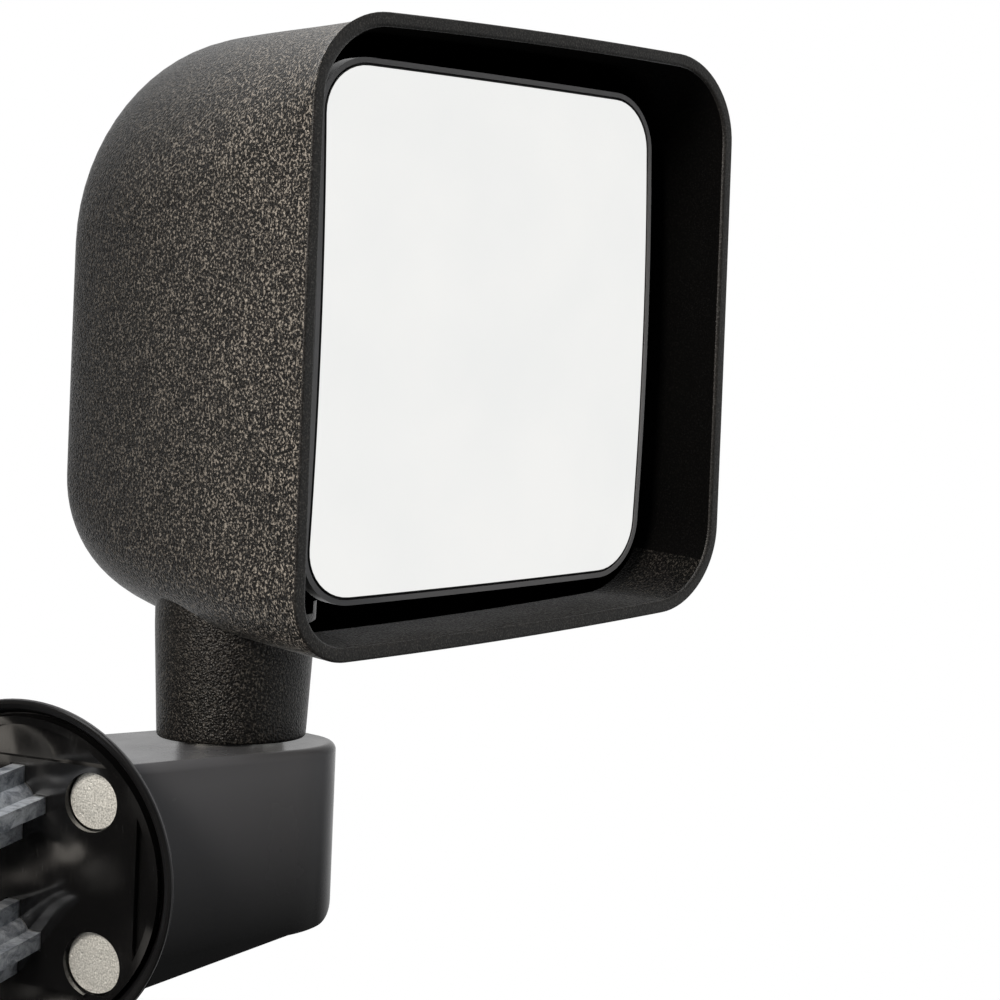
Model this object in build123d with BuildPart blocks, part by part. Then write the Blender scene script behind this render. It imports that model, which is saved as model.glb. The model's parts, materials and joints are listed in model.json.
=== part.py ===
from build123d import *
from math import cos, sin, radians, sqrt, pi
import os

os.makedirs("parts", exist_ok=True)

# ---------------------------------------------------------------- driving sizes (mm)
# Row frame: origin midway between the two stud posts, on the plane that meets the door.
# +X outboard, +Y towards the front of the vehicle, +Z up.
base_y = -4.0              # the round base is centred this far behind the studs' line
seal_r_in = 55.3
stud_spacing = 45.0        # between the two threaded bosses, along Z
tap_r = 3.4                # tapped hole for an M8 stud
boss_face_x = -28.0        # the cast posts stand this far through the door plane
wells = ((-24.5, 25.8, 9.8), (-27.0, -27.2, 10.6), (24.5, 25.8, 9.8), (27.0, -27.2, 10.6))   # about the base's centre

pivot_x, pivot_y = 88.5, -34.7   # fold axis at the arm's top
arm_sweep = -30.7                # degrees from +X, arm runs rearward
arm_top, arm_bot = 30.0, -31.4   # at the pivot
lean = Vector(0.09, 0.047, 1.0)  # the fold axis leans forward and outboard
arm_rear, arm_front, arm_end = -42.4, 30.0, 32.0

head_turn = 27.1                 # head is turned inboard from straight back
head_c = (120.9, -137.2, 183.3)  # centre of the housing's rim
rim_w, rim_h, rim_bow = 213.7, 219.6, 1.8
rim_rise = 0.017                 # the rim's top and bottom climb outboard
head_d = 150.0
wall_rim, wall = 5.0, 4.0

neck_r_bot, neck_r_top = 27.4, 29.6
neck_z0 = arm_top + 0.6

glass_w, glass_h, glass_t, glass_r = 166.0, 190.0, 2.2, 1500.0
glass_corner = 19.0
glass_x, glass_z = 1.1, -0.8
glass_y = 21.7                   # crown of the glass, behind the rim plane
pitch_y = 46.0                   # tilt pin
ball_y, ball_r = 62.0, 12.0      # swivel ball
gap = 0.06                       # running clearance

# ---------------------------------------------------------------- frames
a = radians(head_turn)
U = Vector(cos(a), -sin(a), 0)
V = Vector(sin(a), cos(a), 0)
C = Vector(*head_c)


def hp(x, y, z):
    "head coordinates (across, into the head, up) to the row frame"
    return C + U * x + V * y + Vector(0, 0, z)


def face_plane(y, x=0.0, z=0.0):
    "plane facing out of the rim, at depth y"
    return Plane(origin=hp(x, y, z), x_dir=U, z_dir=V * -1)


def side_plane(x, y=0.0, z=0.0):
    "plane whose normal runs across the head"
    return Plane(origin=hp(x, y, z), x_dir=V, z_dir=U)


nx = (pivot_x - C.X) * U.X + (pivot_y - C.Y) * U.Y
ny = (pivot_x - C.X) * V.X + (pivot_y - C.Y) * V.Y
print("pivot in head coordinates", round(nx, 2), round(ny, 2))

b = radians(arm_sweep)
D = Vector(cos(b), sin(b), 0)
RN = Vector(sin(b), -cos(b), 0)
ARM = Plane(origin=(pivot_x, pivot_y, 0), x_dir=D, z_dir=(0, 0, 1))
ARM_ELEV = Plane(origin=(pivot_x, pivot_y, 0), x_dir=D, z_dir=RN)
DOOR = Plane(origin=(0, base_y, 0), x_dir=(0, 1, 0), z_dir=(1, 0, 0))   # local x = +Y, y = +Z
BASE_XZ = Plane(origin=(0, base_y, 0), x_dir=(1, 0, 0), z_dir=(0, -1, 0))
BASE_AXIS = Axis((0, base_y, 0), (1, 0, 0))
studs = ((-base_y, stud_spacing / 2), (-base_y, -stud_spacing / 2))


def door(x):
    return DOOR.offset(x)


def piv(z):
    "plane square to the leaning fold axis, z - arm_top along it from the arm's top"
    n = lean.normalized()
    return Plane(origin=Vector(pivot_x, pivot_y, arm_top) + n * (z - arm_top), x_dir=(D - n * D.dot(n)).normalized(), z_dir=n)


def rounded_section(xi, xo, zt, zb, rti, rbi, rto, rbo, bow=1.0, rise=rim_rise):
    "closed outline of one slice of the head: four bowed sides and four corner arcs"
    def q(x, z):
        return (x, z + rise * x)
    k = sqrt(0.5)
    ci, co = -xi, xo
    pts = {
        "t0": q(co - rto, zt), "t1": q(ci + rti, zt),
        "l0": q(ci, zt - rti), "l1": q(ci, -zb + rbi),
        "b0": q(ci + rbi, -zb), "b1": q(co - rbo, -zb),
        "r0": q(co, -zb + rbo), "r1": q(co, zt - rto),
    }
    tm = q((pts["t0"][0] + pts["t1"][0]) / 2, zt + bow)
    lm = q(ci - 0.4, (zt - rti - zb + rbi) / 2)
    bm = q((pts["b0"][0] + pts["b1"][0]) / 2, -zb - bow)
    rm = q(co + 0.4, (zt - rto - zb + rbo) / 2)
    ThreePointArc(pts["t0"], tm, pts["t1"])
    ThreePointArc(pts["t1"], q(ci + rti - rti * k, zt - rti + rti * k), pts["l0"])
    ThreePointArc(pts["l0"], lm, pts["l1"])
    ThreePointArc(pts["l1"], q(ci + rbi - rbi * k, -zb + rbi - rbi * k), pts["b0"])
    ThreePointArc(pts["b0"], bm, pts["b1"])
    ThreePointArc(pts["b1"], q(co - rbo + rbo * k, -zb + rbo - rbo * k), pts["r0"])
    ThreePointArc(pts["r0"], rm, pts["r1"])
    ThreePointArc(pts["r1"], q(co - rto + rto * k, zt - rto + rto * k), pts["t0"])


def g(t, p):
    return 1 - (1 - t ** p) ** (1 / p)


def outer_size(t):
    y = head_d * t
    return dict(
        xi=rim_w / 2 + 0.0446 * y - 15.1 * g(t, 4.37),
        xo=rim_w / 2 - 0.05 * y - 42 * g(t, 3.0),
        zt=rim_h / 2 + 0.035 * y - 6.75 * g(t, 5.97),
        zb=rim_h / 2 + 0.0262 * y - 19.3 * g(t, 3.32),
        rti=28 + 56 * t ** 0.54, rbi=22.6 + 20.9 * t, rto=33 + 22 * t, rbo=31 + 18 * t)


def inner_size(t, w):
    s = outer_size(t)
    return dict(xi=s["xi"] - w, xo=s["xo"] - w, zt=s["zt"] - w, zb=s["zb"] - w,
                rti=s["rti"] - w, rbi=s["rbi"] - w, rto=s["rto"] - w, rbo=s["rbo"] - w)


# ---------------------------------------------------------------- head: housing
with BuildPart() as housing:
    for t in (0, 0.04, 0.12, 0.3, 0.5, 0.68, 0.82, 0.92, 0.975, 1.0):
        with BuildSketch(face_plane(head_d * t)):
            with BuildLine():
                rounded_section(**outer_size(t), bow=rim_bow)
            make_face()
    loft()
    # neck, a shallow cone that turns on the arm
    with BuildSketch(piv(neck_z0)):
        Circle(neck_r_bot)
    with BuildSketch(piv(neck_z0 + 40)):
        Circle(neck_r_top)
    with BuildSketch(piv(neck_z0 + 62)):
        Circle(neck_r_top + 0.6)
    loft()
    # open hollow behind the rim
    for t, w in ((-0.01, wall_rim), (0.1, wall_rim - 0.4), (0.3, wall), (0.5, wall), (0.68, wall), (0.82, wall), (0.91, wall), (0.955, wall + 1.5)):
        with BuildSketch(face_plane(head_d * t)):
            with BuildLine():
                rounded_section(**inner_size(max(t, 0), w), bow=rim_bow)
            make_face()
    loft(mode=Mode.SUBTRACT)
    with BuildSketch(piv(neck_z0 - 5)):
        Circle(22.5)
    extrude(amount=70, mode=Mode.SUBTRACT)
    # four screw towers on the back wall
    tower_y = 77.2
    tower_pts = [(33 * cos(radians(w)), 33 * sin(radians(w))) for w in (45, 135, 225, 315)]
    with BuildSketch(face_plane(head_d - 5, glass_x, glass_z)):
        with Locations(*tower_pts):
            Circle(6.5)
    extrude(amount=head_d - 5 - tower_y)
    with BuildSketch(face_plane(tower_y, glass_x, glass_z)):
        with Locations(*tower_pts):
            Circle(2.5)
    extrude(amount=-18, mode=Mode.SUBTRACT)
housing.part.label = "housing"

# ---------------------------------------------------------------- head: die-cast bracket
hub_z0, hub_z1 = 34.4, 97.0
with BuildPart() as support_bracket:
    with BuildSketch(face_plane(71.2)):
        with Locations((glass_x, glass_z)):
            Circle(42)
        with BuildLine():
            Polyline((-70, -103), (-42, -103), (28, -32), (-36, -16), (-50, -84), (-56.5, -88.5), (-70, -88.5), close=True)
        make_face()
    extrude(amount=-6)
    # stiffening rib behind the slanting web
    with BuildSketch(face_plane(77.2)):
        with BuildLine():
            Polyline((-54, -101), (-44, -101), (6, -28), (-6, -28), close=True)
        make_face()
    extrude(amount=-9)
    with BuildSketch(piv(hub_z0)):
        Circle(20)
    extrude(amount=hub_z1 - hub_z0)
    with BuildSketch(piv(hub_z0 - 1)):
        Circle(10.0)
    extrude(amount=70, mode=Mode.SUBTRACT)
    with BuildSketch(face_plane(71.2 - 1, glass_x, glass_z)):
        with Locations(*tower_pts):
            Circle(2.8)
    extrude(amount=-22, mode=Mode.SUBTRACT)
    with BuildSketch(face_plane(71.2 - 1, glass_x, glass_z)):
        Circle(14)
    extrude(amount=-22, mode=Mode.SUBTRACT)
    # holes for the swivel screws
    swivel_pts = [(24 * cos(radians(w)), 24 * sin(radians(w))) for w in (0, 90, 180, 270)]
    with BuildSketch(face_plane(71.2 - 1, glass_x, glass_z)):
        with Locations(*swivel_pts):
            Circle(2.1)
    extrude(amount=-8, mode=Mode.SUBTRACT)
support_bracket.part.label = "support_bracket"

with BuildPart() as bracket_screws:
    with BuildSketch(face_plane(71.2, glass_x, glass_z)):
        with Locations(*tower_pts):
            Circle(4.6)
    extrude(amount=3)
    with BuildSketch(face_plane(71.2, glass_x, glass_z)):
        with Locations(*tower_pts):
            Circle(2.45)
    extrude(amount=-20)
    with BuildSketch(face_plane(68.2, glass_x, glass_z)):
        with Locations(*tower_pts):
            RegularPolygon(radius=2.3, side_count=6)
    extrude(amount=-1.8, mode=Mode.SUBTRACT)
bracket_screws.part.label = "bracket_screws"

with BuildPart() as pivot_bush:
    with BuildSketch(piv(hub_z0 + 0.2)):
        Circle(10.0)
        Circle(8.0 + gap, mode=Mode.SUBTRACT)
    extrude(amount=hub_z1 - hub_z0 - 0.4)
pivot_bush.part.label = "pivot_bush"

with BuildPart() as wear_washer:
    with BuildSketch(piv(32.7)):
        Circle(19)
        Circle(8.6, mode=Mode.SUBTRACT)
    extrude(amount=hub_z0 - 32.7)
wear_washer.part.label = "wear_washer"

with BuildPart() as spring_seat:
    with BuildSketch(piv(hub_z1)):
        Circle(16.5)
        Circle(8.5, mode=Mode.SUBTRACT)
    extrude(amount=2.0)
    with BuildSketch(piv(hub_z1 + 2)):
        Circle(16.5)
        Circle(15.0, mode=Mode.SUBTRACT)
    extrude(amount=1.5)
spring_seat.part.label = "spring_seat"

# ---------------------------------------------------------------- head: swivel socket
ball_c = tuple(hp(glass_x, ball_y, glass_z))
with BuildPart() as swivel_base:
    with BuildSketch(face_plane(71.2, glass_x, glass_z)):
        Circle(28.2)
    extrude(amount=3.2)
    with BuildSketch(face_plane(68.0, glass_x, glass_z)):
        Circle(20)
    extrude(amount=6.0)
    with BuildSketch(face_plane(71.2, glass_x, glass_z)):
        with Locations(*swivel_pts):
            Circle(2.1)
    extrude(amount=12, mode=Mode.SUBTRACT)
    with Locations(ball_c):
        Sphere(ball_r + gap, mode=Mode.SUBTRACT)
    with BuildSketch(face_plane(71.2, glass_x, glass_z)):
        with PolarLocations(16.5, 4, start_angle=45):
            Circle(1.6)
    extrude(amount=12, mode=Mode.SUBTRACT)
swivel_base.part.label = "swivel_base"

with BuildPart() as ball_retainer:
    with BuildSketch(face_plane(62.0, glass_x, glass_z)):
        Circle(20)
    extrude(amount=6.0)
    with Locations(ball_c):
        Sphere(ball_r + gap, mode=Mode.SUBTRACT)
    with BuildSketch(face_plane(62.0, glass_x, glass_z)):
        with PolarLocations(16.5, 4, start_angle=45):
            Circle(1.6)
    extrude(amount=8, mode=Mode.SUBTRACT)
ball_retainer.part.label = "ball_retainer"

with BuildPart() as retainer_screws:
    with BuildSketch(face_plane(56.0, glass_x, glass_z)):
        with PolarLocations(16.5, 4, start_angle=45):
            Circle(2.9)
    extrude(amount=1.8)
    with BuildSketch(face_plane(56.0, glass_x, glass_z)):
        with PolarLocations(16.5, 4, start_angle=45):
            Circle(1.5)
    extrude(amount=-12)
retainer_screws.part.label = "retainer_screws"

with BuildPart() as swivel_screws:
    with BuildSketch(face_plane(68.0, glass_x, glass_z)):
        with Locations(*swivel_pts):
            Circle(3.6)
    extrude(amount=2.4)
    with BuildSketch(face_plane(68.0, glass_x, glass_z)):
        with Locations(*swivel_pts):
            Circle(2.0)
    extrude(amount=-9)
swivel_screws.part.label = "swivel_screws"

# ---------------------------------------------------------------- swivel: ball and tilt pin
with BuildPart() as pivot_ball:
    with Locations(ball_c):
        Sphere(ball_r)
    with BuildSketch(face_plane(55.0, glass_x, glass_z)):
        Circle(6.5)
    extrude(amount=15.0)
    with BuildSketch(side_plane(glass_x - 12, pitch_y, glass_z)):
        Circle(3.0)
    extrude(amount=24, mode=Mode.SUBTRACT)
pivot_ball.part.label = "pivot_ball"

with BuildPart() as tilt_pin:
    with BuildSketch(side_plane(glass_x - 17, pitch_y, glass_z)):
        Circle(3.0)
    extrude(amount=34)
tilt_pin.part.label = "tilt_pin"

# ---------------------------------------------------------------- glass, pad and holder
sc = tuple(hp(glass_x, glass_y + glass_r, glass_z))   # centre of the glass's sphere


with BuildPart() as mirror_glass:
    with BuildSketch(face_plane(34, glass_x, glass_z)):
        RectangleRounded(glass_w, glass_h, glass_corner)
    extrude(amount=20)
    with Locations(sc):
        Sphere(glass_r, mode=Mode.INTERSECT)
    with Locations(sc):
        Sphere(glass_r - glass_t, mode=Mode.SUBTRACT)
mirror_glass.part.label = "mirror_glass"

with BuildPart() as adhesive_pad:
    with BuildSketch(face_plane(34, glass_x, glass_z)):
        RectangleRounded(glass_w - 8, glass_h - 8, glass_corner - 4)
    extrude(amount=20)
    with Locations(sc):
        Sphere(glass_r - glass_t, mode=Mode.INTERSECT)
    with Locations(sc):
        Sphere(glass_r - glass_t - 0.8, mode=Mode.SUBTRACT)
adhesive_pad.part.label = "adhesive_pad"

with BuildPart() as pocket:
    with BuildSketch(face_plane(36, glass_x, glass_z)):
        RectangleRounded(glass_w + 1.2, glass_h + 1.2, glass_corner + 0.6)
    extrude(amount=24)
    with Locations(sc):
        Sphere(glass_r - glass_t - 0.8, mode=Mode.SUBTRACT)

lip = 1.9
with BuildPart() as glass_holder:
    with BuildSketch(face_plane(32.5, glass_x, glass_z)):
        RectangleRounded(glass_w + 1.2 + 2 * lip, glass_h + 1.2 + 2 * lip, glass_corner + lip + 0.6)
    extrude(amount=20)
    with Locations(sc):
        Sphere(glass_r + 0.2, mode=Mode.INTERSECT)
    # pocket for the pad and the glass
    add(pocket.part, mode=Mode.SUBTRACT)
    # clevis ears on the back
    for x0 in (-14.6, 8.6):
        with BuildSketch(side_plane(glass_x + x0, 0, glass_z)):
            with BuildLine():
                Polyline((31.5, -9), (pitch_y, -6), (pitch_y, 6), (31.5, 9), close=True)
            make_face()
            with Locations((pitch_y, 0)):
                Circle(6)
        extrude(amount=6)
    with BuildSketch(side_plane(glass_x - 18, pitch_y, glass_z)):
        Circle(3.0 + gap)
    extrude(amount=36, mode=Mode.SUBTRACT)
    # stiffening frame on the back
    with BuildSketch(face_plane(32.5, glass_x, glass_z)):
        Rectangle(120, 140)
        Rectangle(116, 136, mode=Mode.SUBTRACT)
    extrude(amount=-3)
glass_holder.part.label = "glass_holder"

# ---------------------------------------------------------------- base: arm cover


def plan_outline(inset):
    x1, y0, y1 = arm_end - inset, arm_rear + inset, arm_front - inset
    r1, r2 = 30 - inset, 26 - inset
    Polyline((-150, y0), (x1 - r1, y0))
    CenterArc((x1 - r1, y0 + r1), r1, -90, 90)
    Line((x1, y0 + r1), (x1, y1 - r2))
    CenterArc((x1 - r2, y1 - r2), r2, 0, 90)
    Polyline((x1 - r2, y1), (-150, y1), (-150, y0))


def elev_outline(inset, rb):
    x1, zt, zb = arm_end + 0.12 - inset, arm_top + 40, arm_bot + inset
    Polyline((x1, zt), (-150, zt), (-150, zb - 18.6), (0, zb), (x1 - rb, zb))
    CenterArc((x1 - rb, zb + rb), rb, -90, 90)
    Line((x1, zb + rb), (x1, zt))


# swept body of the arm, with a small round along its lower and upper edges
with BuildPart() as arm_outer:
    with BuildSketch(ARM.offset(-55)):
        with BuildLine():
            plan_outline(0)
        make_face()
    extrude(amount=110)
    with BuildSketch(ARM_ELEV):
        with BuildLine():
            elev_outline(0, 18)
        make_face()
    extrude(amount=100, both=True, mode=Mode.INTERSECT)
    with BuildSketch(piv(arm_top)):
        Rectangle(700, 700)
    extrude(amount=100, mode=Mode.SUBTRACT)
    high = arm_outer.faces().sort_by(lambda f: f.normal_at().Z)[-1].edges()
    fillet(high.filter_by(lambda e: (e @ 0.5).X > 100 or (e @ 0.5).Y < -64), 3)
print("arm outer", arm_outer.part.volume, len(arm_outer.part.solids()))

with BuildPart() as arm_inner:
    with BuildSketch(ARM.offset(-55)):
        with BuildLine():
            plan_outline(3.5)
        make_face()
    extrude(amount=110)
    with BuildSketch(ARM_ELEV):
        with BuildLine():
            elev_outline(3.5, 12)
        make_face()
    extrude(amount=100, both=True, mode=Mode.INTERSECT)
    with BuildSketch(piv(arm_top - 3.5)):
        Rectangle(700, 700)
    extrude(amount=100, mode=Mode.SUBTRACT)
    with BuildSketch(door(-200)):
        Rectangle(600, 600)
    extrude(amount=211.4, mode=Mode.SUBTRACT)
    with BuildSketch(BASE_XZ):
        with BuildLine():
            Polyline((10.0, 0), (10.0, 45.6), (13.0, 45.6), (31.0, 63.5), (60.0, 106.5), (256, 106.5), (256, 0), close=True)
        make_face()
    revolve(axis=BASE_AXIS, mode=Mode.INTERSECT)

with BuildPart() as arm_cover:
    add(arm_outer.part)
    with BuildSketch(door(-200)):
        Rectangle(600, 600)
    extrude(amount=208, mode=Mode.SUBTRACT)
    # the arm's root is drawn in to the flange's round
    with BuildSketch(BASE_XZ):
        with BuildLine():
            Polyline((6.0, 0), (6.0, 49.2), (13.0, 49.2), (30.0, 66.2), (60.0, 111.0), (260, 111.0), (260, 0), close=True)
        make_face()
    revolve(axis=BASE_AXIS, mode=Mode.INTERSECT)
    # round dished flange
    with BuildSketch(BASE_XZ):
        with BuildLine():
            Polyline((1.2, seal_r_in), (1.2, 57.0), (1.6, 57.2), (2.4, 56.9), (5.0, 55.0), (8.0, 52.8), (12.0, 49.6),
                     (15.2, 46.0), (17.0, 42.0), (17.6, 36.0), (17.6, 0), (14.4, 0), (14.2, 38.0),
                     (13.0, 43.0), (11.4, 46.2), (8.0, 47.3), (6.2, 47.3), (6.2, 52.0), (4.2, 53.4), close=True)
        make_face()
    revolve(axis=BASE_AXIS)
    with BuildSketch(BASE_XZ):
        with BuildLine():
            Polyline((6.2, 0), (14.4, 0), (14.2, 38.0), (13.0, 43.0), (11.4, 46.2), (8.0, 47.3), (6.2, 47.3), close=True)
        make_face()
    revolve(axis=BASE_AXIS, mode=Mode.SUBTRACT)
    add(arm_inner.part, mode=Mode.SUBTRACT)
    # screw bosses behind the flange
    with BuildSketch(door(11.4)):
        with Locations((39.6, 0), (-39.6, 0), (0, 39.6), (0, -39.6)):
            Circle(4.4)
    extrude(amount=4.6)
    with BuildSketch(door(11.4)):
        with Locations((39.6, 0), (-39.6, 0), (0, 39.6), (0, -39.6)):
            Circle(1.7)
    extrude(amount=4.0, mode=Mode.SUBTRACT)
    # round opening under the neck
    with BuildSketch(piv(arm_top - 10)):
        Circle(22.0)
    extrude(amount=20, mode=Mode.SUBTRACT)
arm_cover.part.label = "arm_cover"

# ---------------------------------------------------------------- base: casting
core_t = 17.0
with BuildPart() as base_casting:
    with BuildSketch(door(6.6)):
        Circle(45.8)
    extrude(amount=4.6)
    # arm core: an I-shaped beam from the disc to the pivot hub
    with BuildSketch(ARM.offset(-22)):
        Rectangle(116, 2 * core_t, align=(Align.MAX, Align.CENTER))
    extrude(amount=44)
    for y0 in (-core_t - 1, 4):
        with BuildSketch(ARM.offset(-16)):
            with Locations((-28, y0)):
                Rectangle(54, core_t - 3, align=(Align.MAX, Align.MIN))
        extrude(amount=32, mode=Mode.SUBTRACT)
    with BuildSketch(door(-200)):
        Rectangle(600, 600)
    extrude(amount=206.6, mode=Mode.SUBTRACT)
    with BuildSketch(piv(-22)):
        Circle(21.0)
    extrude(amount=29.4 + 22)
    # cast pads seen through the wells
    with BuildSketch(door(6.6)):
        for wy, wz, wr in wells:
            with Locations((wy, wz)):
                Circle(wr - 0.5)
    extrude(amount=-1.2)
    # cross-shaped stud posts
    with BuildSketch(door(6.6)):
        with Locations(*studs):
            Circle(6.8)
            Rectangle(22, 5.5)
            Rectangle(4.8, 24.5)
    extrude(amount=boss_face_x - 6.6)
    with BuildSketch(door(boss_face_x - 1)):
        with Locations(*studs):
            Circle(tap_r)
    extrude(amount=39, mode=Mode.SUBTRACT)
    # shaft bore and a clearance bore below it
    with BuildSketch(piv(-42)):
        Circle(14.0)
    extrude(amount=20, mode=Mode.SUBTRACT)
    with BuildSketch(piv(-40)):
        Circle(8.0)
    extrude(amount=80, mode=Mode.SUBTRACT)
    # screw holes with head recesses
    with BuildSketch(door(6)):
        with Locations((39.6, 0), (-39.6, 0), (0, 39.6), (0, -39.6)):
            Circle(2.1)
    extrude(amount=6, mode=Mode.SUBTRACT)
    with BuildSketch(door(6)):
        with Locations((39.6, 0), (-39.6, 0), (0, 39.6), (0, -39.6)):
            Circle(3.9)
    extrude(amount=2.9, mode=Mode.SUBTRACT)
base_casting.part.label = "base_casting"
print("casting", base_casting.part.volume, len(base_casting.part.solids()))

with BuildPart() as cover_screws:
    with BuildSketch(door(6.9)):
        with Locations((39.6, 0), (-39.6, 0), (0, 39.6), (0, -39.6)):
            Circle(3.6)
    extrude(amount=2.0)
    with BuildSketch(door(6.9)):
        with Locations((39.6, 0), (-39.6, 0), (0, 39.6), (0, -39.6)):
            Circle(1.65)
    extrude(amount=8.0)
cover_screws.part.label = "cover_screws"

# ---------------------------------------------------------------- base: gloss cover on the door side
with BuildPart() as base_cover:
    with BuildSketch(door(5.0)):
        Circle(51.4)
    extrude(amount=1.2)
    with BuildSketch(door(1.4)):
        Circle(51.4)
        Circle(48.8, mode=Mode.SUBTRACT)
    extrude(amount=4.4)
    with BuildSketch(door(2.8)):
        Circle(49.2)
        RectangleRounded(84, 75, 5, mode=Mode.INTERSECT)
    extrude(amount=3.0)
    with BuildSketch(door(0)):
        for wy, wz, wr in wells:
            with Locations((wy, wz)):
                Circle(wr)
    extrude(amount=12, mode=Mode.SUBTRACT)
    with BuildSketch(door(0)):
        with Locations(*studs):
            Circle(7.3)
            Rectangle(23, 6.5)
            Rectangle(5.8, 25.5)
    extrude(amount=12, mode=Mode.SUBTRACT)
base_cover.part.label = "base_cover"

with BuildPart() as door_seal:
    with BuildSketch(BASE_XZ):
        with BuildLine():
            Polyline((0, 55.8), (0, 56.6), (0.5, 57.0), (1.2, 57.0), (1.2, 53.9), (0.7, 54.4), close=True)
        make_face()
    revolve(axis=BASE_AXIS)
    with BuildSketch(BASE_XZ):
        with BuildLine():
            Polyline((1.2, 53.9), (1.2, seal_r_in), (4.2, 53.4), (4.2, 52.2), close=True)
        make_face()
    revolve(axis=BASE_AXIS)
door_seal.part.label = "door_seal"

# ---------------------------------------------------------------- base: pivot parts
with BuildPart() as pivot_shaft:
    with BuildSketch(piv(-24.4)):
        Circle(13.0)
    extrude(amount=2.4)
    with BuildSketch(piv(-22.0)):
        Circle(8.0)
    extrude(amount=163.0)
    chamfer(pivot_shaft.faces().sort_by(Axis.Z)[-1].edges(), 1.2)
pivot_shaft.part.label = "pivot_shaft"

with BuildPart() as detent_ring:
    with BuildSketch(piv(29.4)):
        Circle(19)
        Circle(8.3, mode=Mode.SUBTRACT)
    extrude(amount=3.0)
    with BuildSketch(piv(31.6)):
        with PolarLocations(14, 4):
            Rectangle(12, 4)
    extrude(amount=2.0, mode=Mode.SUBTRACT)
detent_ring.part.label = "detent_ring"

spring_z0, spring_z1, wire = 99.4, 125.0, 1.7
with BuildPart() as fold_spring:
    coil_h = spring_z1 - spring_z0 - 2 * wire - 0.8
    with BuildLine(piv(spring_z0 + wire + 0.4)) as coil:
        Helix(pitch=coil_h / 4, height=coil_h, radius=12.0)
    with BuildSketch(Plane(origin=coil.wire() @ 0, z_dir=coil.wire() % 0)):
        Circle(wire)
    sweep()
fold_spring.part.label = "fold_spring"

with BuildPart() as spring_cup:
    with BuildSketch(piv(spring_z1)):
        Circle(16)
        Circle(8.2, mode=Mode.SUBTRACT)
    extrude(amount=2.6)
    with BuildSketch(piv(spring_z1 - 3)):
        Circle(16)
        Circle(14.6, mode=Mode.SUBTRACT)
    extrude(amount=3)
spring_cup.part.label = "spring_cup"

with BuildPart() as pivot_nut:
    with BuildSketch(piv(spring_z1 + 2.6)):
        RegularPolygon(radius=12.0, side_count=6, major_radius=False)
        Circle(8.0, mode=Mode.SUBTRACT)
    extrude(amount=10.0)
pivot_nut.part.label = "pivot_nut"

# ---------------------------------------------------------------- write
for piece in (housing, support_bracket, bracket_screws, pivot_bush, wear_washer, spring_seat, swivel_base,
              ball_retainer, retainer_screws, swivel_screws, pivot_ball, tilt_pin, mirror_glass, adhesive_pad,
              glass_holder, arm_cover, base_casting, cover_screws, base_cover, door_seal, pivot_shaft,
              detent_ring, fold_spring, spring_cup, pivot_nut):
    export_step(piece.part, "parts/" + piece.part.label + ".step")
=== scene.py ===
import json
import math

import bmesh
import bpy
import numpy as np
from mathutils import Matrix, Vector


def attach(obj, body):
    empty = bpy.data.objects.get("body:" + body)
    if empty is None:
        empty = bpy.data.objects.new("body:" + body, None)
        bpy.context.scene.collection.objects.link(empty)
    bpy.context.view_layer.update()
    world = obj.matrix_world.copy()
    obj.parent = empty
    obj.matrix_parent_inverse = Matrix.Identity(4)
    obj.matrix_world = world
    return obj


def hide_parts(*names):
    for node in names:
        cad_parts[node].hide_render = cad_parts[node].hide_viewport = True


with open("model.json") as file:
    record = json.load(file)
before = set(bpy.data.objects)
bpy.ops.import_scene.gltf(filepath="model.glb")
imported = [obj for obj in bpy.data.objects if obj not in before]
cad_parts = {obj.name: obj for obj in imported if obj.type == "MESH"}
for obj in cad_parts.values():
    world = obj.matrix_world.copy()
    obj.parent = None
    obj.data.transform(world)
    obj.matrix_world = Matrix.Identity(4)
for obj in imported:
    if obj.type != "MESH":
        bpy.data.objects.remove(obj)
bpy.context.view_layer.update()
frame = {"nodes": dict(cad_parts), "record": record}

nodes = frame["nodes"]
MM = 0.001
RNG = np.random.default_rng(7)

# ------------------------------------------------------------------ frame of the head
HEAD_TURN = math.radians(27.1)
U = np.array([math.cos(HEAD_TURN), -math.sin(HEAD_TURN), 0.0])
V = np.array([math.sin(HEAD_TURN), math.cos(HEAD_TURN), 0.0])
W = np.array([0.0, 0.0, 1.0])
C = np.array([120.9, -137.2, 183.3])
PIVOT = np.array([88.5, -34.7, 30.0])
LEAN = np.array([0.09, 0.047, 1.0]) / math.sqrt(0.09 ** 2 + 0.047 ** 2 + 1)
SIDE1 = np.cross((0, 1, 0), LEAN) / np.linalg.norm(np.cross((0, 1, 0), LEAN))
SIDE2 = np.cross(LEAN, SIDE1)
RIM_W, RIM_H, RIM_BOW, RIM_RISE, HEAD_D = 213.7, 219.6, 1.8, 0.017, 150.0


def hp(p):
    "head coordinates (across, depth, up) in mm to the row frame in metres"
    p = np.atleast_2d(np.asarray(p, float))
    return (C + p[:, :1] * U + p[:, 1:2] * V + p[:, 2:3] * W) * MM


# ------------------------------------------------------------------ mesh helpers
def new_mesh(name, verts, faces, smooth=True, sharp_deg=40):
    me = bpy.data.meshes.new(name)
    me.from_pydata([tuple(map(float, v)) for v in verts], [], [tuple(map(int, f)) for f in faces])
    me.validate()
    bm = bmesh.new()
    bm.from_mesh(me)
    bmesh.ops.remove_doubles(bm, verts=bm.verts, dist=1e-7)
    bmesh.ops.recalc_face_normals(bm, faces=bm.faces)
    bm.to_mesh(me)
    bm.free()
    if smooth:
        me.polygons.foreach_set("use_smooth", [True] * len(me.polygons))
        me.set_sharp_from_angle(angle=math.radians(sharp_deg))
    o = bpy.data.objects.new(name, me)
    bpy.context.scene.collection.objects.link(o)
    return o


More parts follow.
